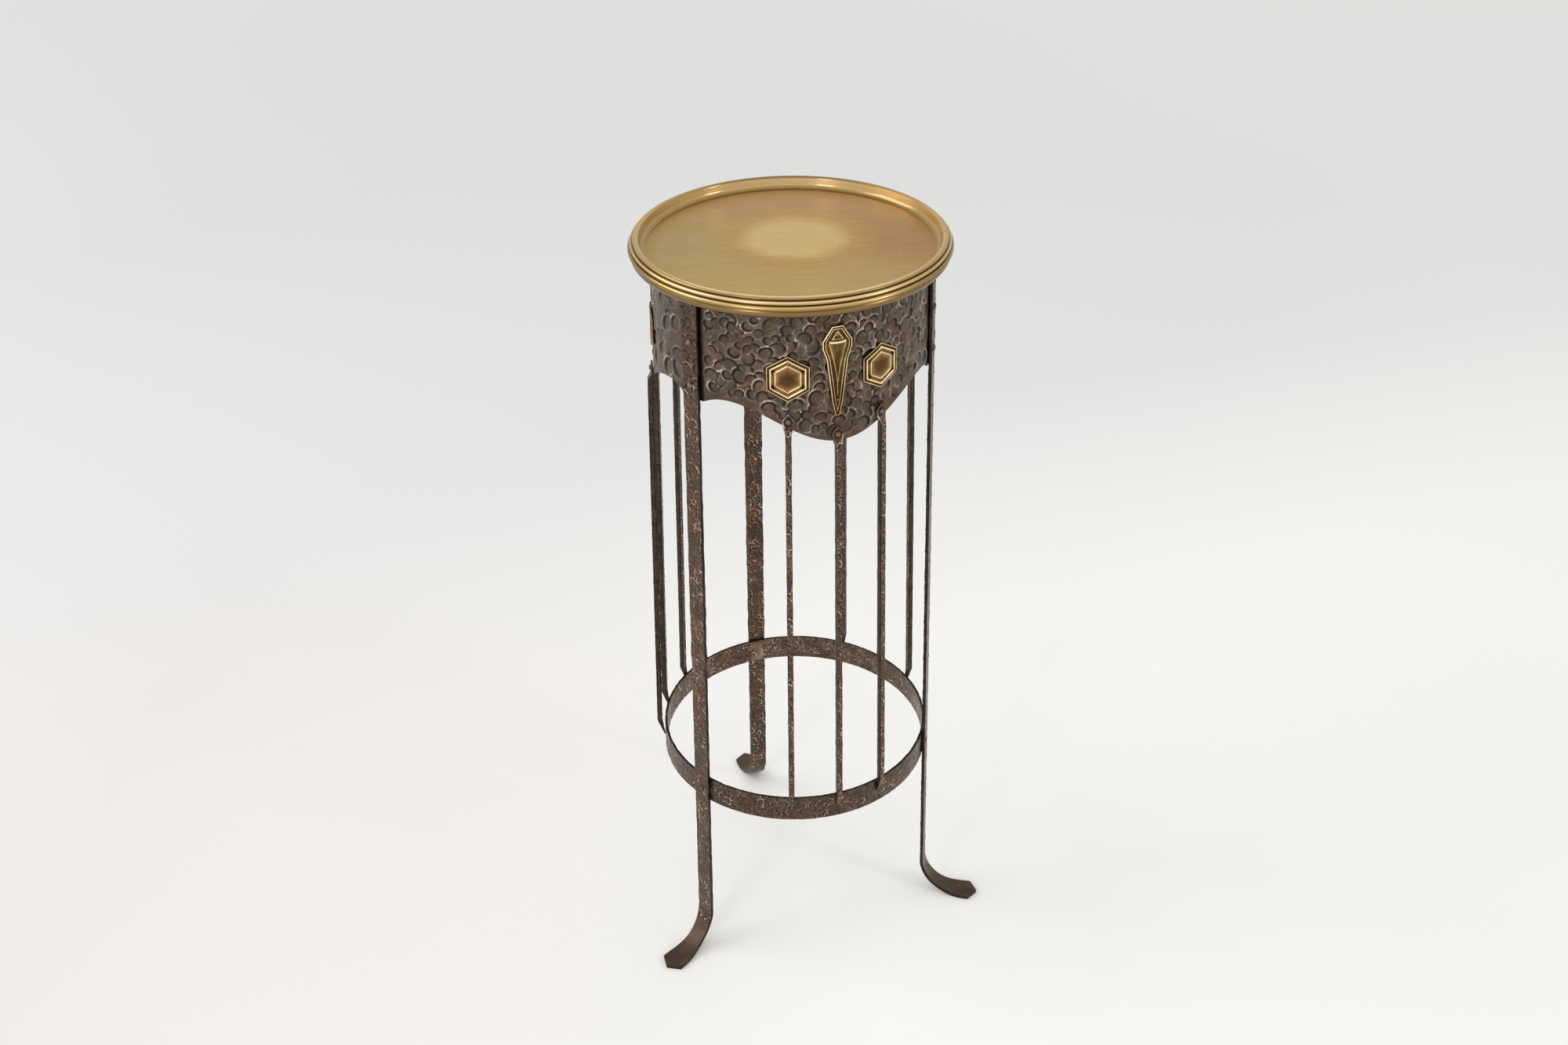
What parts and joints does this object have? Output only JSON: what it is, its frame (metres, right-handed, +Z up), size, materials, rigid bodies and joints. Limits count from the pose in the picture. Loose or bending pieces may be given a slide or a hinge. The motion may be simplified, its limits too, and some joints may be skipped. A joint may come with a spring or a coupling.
{
  "type": "pedestal tray stand",
  "caption": "Tall round stand of hammered iron: flat-bar legs with turned-out feet, slim rods from a plaqued apron to a band hoop, and a brass tray that lifts off.",
  "frame": {"origin": "where the stand's axis meets the floor, in the plane of the three soles", "axes": "+Z up along the stand's axis, -Y out through the middle of the front apron panel, a leg at +Y"},
  "size_m": [0.3886, 0.3843, 0.8407],
  "materials": {
    "tray_brass": "spun brass, worn satin with a soft tarnish",
    "apron_iron": "sheet iron, hammered all over with a round punch, dark patina with worn ridges",
    "bar_iron": "forged flat and square bar, hammer marks, brown patina",
    "rivet_iron": "round-headed iron rivets, brown patina",
    "plaque_brass": "embossed sheet brass, dark in the hollows and bright on the ridges"
  },
  "bodies": {
    "stand": {"apron_drum": "apron_iron", "lower_hoop": "bar_iron", "leg_left": "bar_iron", "leg_right": "bar_iron", "leg_back": "bar_iron", "rod_front_1": "bar_iron", "rod_front_2": "bar_iron", "rod_front_3": "bar_iron", "rod_right_1": "bar_iron", "rod_right_2": "bar_iron", "rod_right_3": "bar_iron", "rod_left_1": "bar_iron", "rod_left_2": "bar_iron", "rod_left_3": "bar_iron", "hexagon_plaque_front_left": "plaque_brass", "hexagon_plaque_front_right": "plaque_brass", "hexagon_plaque_right_left": "plaque_brass", "hexagon_plaque_right_right": "plaque_brass", "hexagon_plaque_left_left": "plaque_brass", "hexagon_plaque_left_right": "plaque_brass", "drop_plaque_front": "plaque_brass", "drop_plaque_right": "plaque_brass", "drop_plaque_left": "plaque_brass", "leg_rivets": "rivet_iron", "hoop_rivets": "rivet_iron", "rod_rivets": "rivet_iron", "drop_pins": "plaque_brass", "hexagon_pins": "plaque_brass"},
    "tray": {"tray": "tray_brass", "tray_locating_ring": "tray_brass"}
  },
  "joints": [
    {"name": "tray_lift", "type": "slide", "parent": "stand", "child": "tray", "axis": [0, 0, 1], "range_m": [0, 0.06]}
  ]
}
